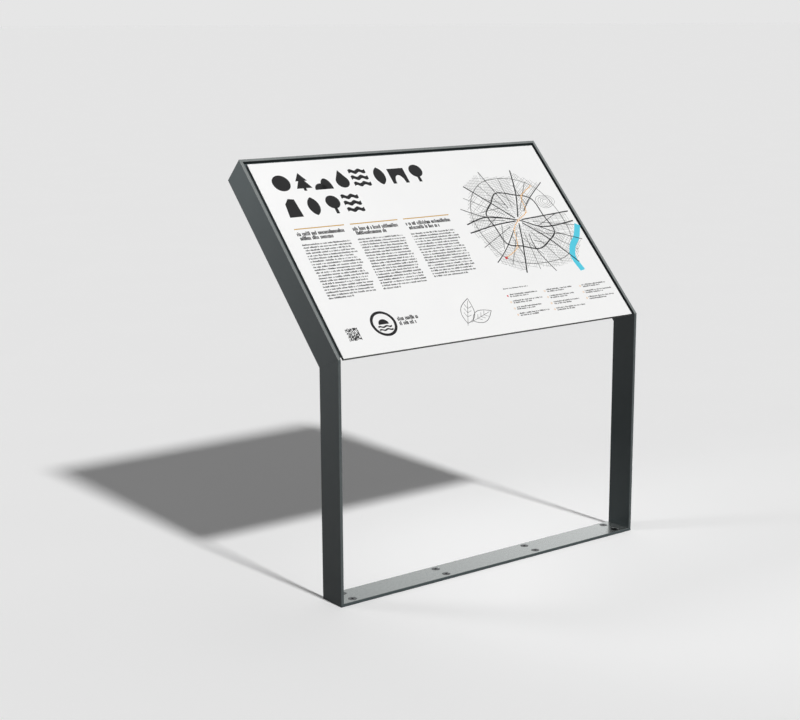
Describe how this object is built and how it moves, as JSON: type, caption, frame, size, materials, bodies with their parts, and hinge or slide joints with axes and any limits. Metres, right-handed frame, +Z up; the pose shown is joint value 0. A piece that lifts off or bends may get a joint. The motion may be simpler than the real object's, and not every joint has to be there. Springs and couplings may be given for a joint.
{
  "type": "interpretive display frame",
  "caption": "Low sloping reading board in a mitred flat-bar steel frame that is screwed to the ground through its base bar.",
  "frame": {"origin": "centre of the base bar's underside, on the ground", "axes": "+Z up, +X along the base bar to the right leg as the reader sees it, +Y away from the reader; the printed face looks to -Y and up"},
  "size_m": [0.97, 0.4857, 1.0482],
  "materials": {
    "coated_steel": "satin powder coat",
    "white_laminate": "printed, satin",
    "stainless_steel": "blackened stainless",
    "brass": "turned"
  },
  "bodies": {
    "root": {"left_leg": "coated_steel", "right_leg": "coated_steel", "left_arm": "coated_steel", "right_arm": "coated_steel", "top_bar": "coated_steel", "base_bar": "coated_steel", "left_ledge": "coated_steel", "right_ledge": "coated_steel", "top_ledge": "coated_steel", "lower_rail": "coated_steel", "upper_rail": "coated_steel", "print_panel": "white_laminate", "front_anchor_screw_1": "stainless_steel", "front_anchor_screw_2": "stainless_steel", "front_anchor_screw_3": "stainless_steel", "front_anchor_screw_4": "stainless_steel", "rear_anchor_screw_1": "stainless_steel", "rear_anchor_screw_2": "stainless_steel", "rear_anchor_screw_3": "stainless_steel", "rear_anchor_screw_4": "stainless_steel", "lower_board_screw_1": "stainless_steel", "lower_board_screw_2": "stainless_steel", "lower_board_screw_3": "stainless_steel", "upper_board_screw_1": "stainless_steel", "upper_board_screw_2": "stainless_steel", "upper_board_screw_3": "stainless_steel", "lower_board_insert_1": "brass", "lower_board_insert_2": "brass", "lower_board_insert_3": "brass", "upper_board_insert_1": "brass", "upper_board_insert_2": "brass", "upper_board_insert_3": "brass"}
  },
  "joints": []
}
